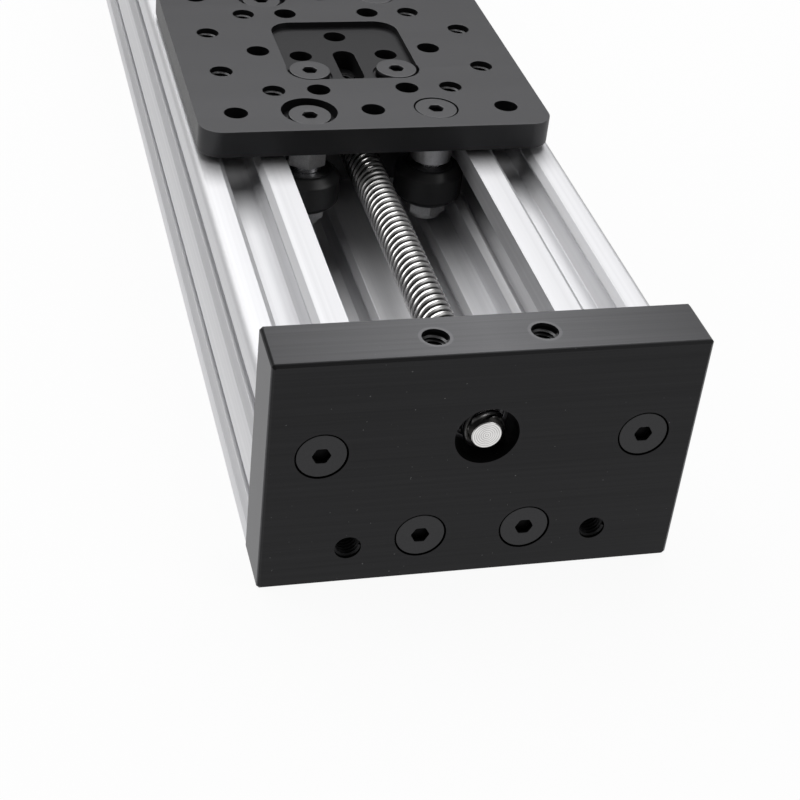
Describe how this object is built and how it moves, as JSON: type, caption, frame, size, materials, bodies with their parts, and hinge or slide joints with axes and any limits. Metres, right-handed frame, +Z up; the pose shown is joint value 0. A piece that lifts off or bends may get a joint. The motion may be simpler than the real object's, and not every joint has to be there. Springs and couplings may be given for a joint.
{
  "type": "lead screw linear actuator",
  "caption": "Lead screw linear actuator: a C-shaped V-slot beam between end plates, and a carriage plate on V wheels that a screw and anti-backlash nut drive along it.",
  "frame": {"origin": "middle of the bounding box on the plane of the beam's underside, below the screw", "axes": "+Y along the screw from the idle end to the drive end, +Z up from the base to the carriage, +X to the side of the fixed spacers"},
  "size_m": [0.08, 0.544, 0.05],
  "materials": {
    "anodised_beam": "clear anodised",
    "black_plate": "black anodised, brushed",
    "screw_steel": "bright turned",
    "black_steel": "black oxide",
    "bearing_steel": "ground",
    "plated_nut": "zinc plated",
    "bare_aluminium": "turned",
    "black_acetal": "moulded",
    "bearing_seal": "ring with its seals"
  },
  "bodies": {
    "frame": {"beam": "anodised_beam", "idle_end_plate": "black_plate", "drive_end_plate": "black_plate", "idle_plate_screws": "black_steel", "drive_plate_screws": "black_steel", "idle_bearing_outer_ring": "bearing_seal", "drive_bearing_outer_ring": "bearing_seal"},
    "lead_screw": {"lead_screw": "screw_steel", "idle_bearing_inner_ring": "bearing_steel", "drive_bearing_inner_ring": "bearing_steel", "idle_thrust_shim": "bearing_steel", "drive_thrust_shim": "bearing_steel", "idle_lock_collar": "bare_aluminium", "drive_lock_collar": "bare_aluminium", "collar_set_screws": "black_steel"},
    "carriage": {"carriage_plate": "black_plate", "nut_block": "black_acetal", "backlash_adjuster": "black_steel", "nut_block_screws": "black_steel", "nut_block_lock_nuts": "plated_nut", "fixed_wheel_screws": "black_steel", "eccentric_wheel_screws": "black_steel", "wheel_lock_nuts": "plated_nut", "round_spacers": "bare_aluminium", "eccentric_spacers": "plated_nut", "wheel_bearing_inner_rings": "bearing_steel"},
    "wheel_front_left": {"wheel_front_left": "black_acetal", "wheel_bearing_outer_rings_front_left": "bearing_seal"},
    "wheel_rear_left": {"wheel_rear_left": "black_acetal", "wheel_bearing_outer_rings_rear_left": "bearing_seal"},
    "wheel_front_right": {"wheel_front_right": "black_acetal", "wheel_bearing_outer_rings_front_right": "bearing_seal"},
    "wheel_rear_right": {"wheel_rear_right": "black_acetal", "wheel_bearing_outer_rings_rear_right": "bearing_seal"}
  },
  "joints": [
    {"name": "carriage_slide", "type": "slide", "parent": "frame", "child": "carriage", "axis": [0, 1, 0], "range_m": [-0.07375, 0.34475]},
    {"name": "screw_spin", "type": "hinge", "parent": "frame", "child": "lead_screw", "pos_m": [0, 0, 0.032], "axis": [0, 1, 0], "range_deg": [-15514, 3319]},
    {"name": "wheel_front_left_spin", "type": "hinge", "parent": "carriage", "child": "wheel_front_left", "pos_m": [-0.0141, -0.17629, 0.03], "axis": [0, 0, 1], "range_deg": [-627, 2927]},
    {"name": "wheel_rear_left_spin", "type": "hinge", "parent": "carriage", "child": "wheel_rear_left", "pos_m": [-0.0141, -0.11629, 0.03], "axis": [0, 0, 1], "range_deg": [-627, 2927]},
    {"name": "wheel_front_right_spin", "type": "hinge", "parent": "carriage", "child": "wheel_front_right", "pos_m": [0.0141, -0.1755, 0.03], "axis": [0, 0, 1], "range_deg": [-2927, 627]},
    {"name": "wheel_rear_right_spin", "type": "hinge", "parent": "carriage", "child": "wheel_rear_right", "pos_m": [0.0141, -0.1155, 0.03], "axis": [0, 0, 1], "range_deg": [-2927, 627]}
  ],
  "couplings": [
    {"joint": "screw_spin", "follows": "carriage_slide", "rad_per_m": -785.4},
    {"joint": "wheel_front_left_spin", "follows": "carriage_slide", "rad_per_m": 148.15},
    {"joint": "wheel_rear_left_spin", "follows": "carriage_slide", "rad_per_m": 148.15},
    {"joint": "wheel_front_right_spin", "follows": "carriage_slide", "rad_per_m": -148.15},
    {"joint": "wheel_rear_right_spin", "follows": "carriage_slide", "rad_per_m": -148.15}
  ]
}
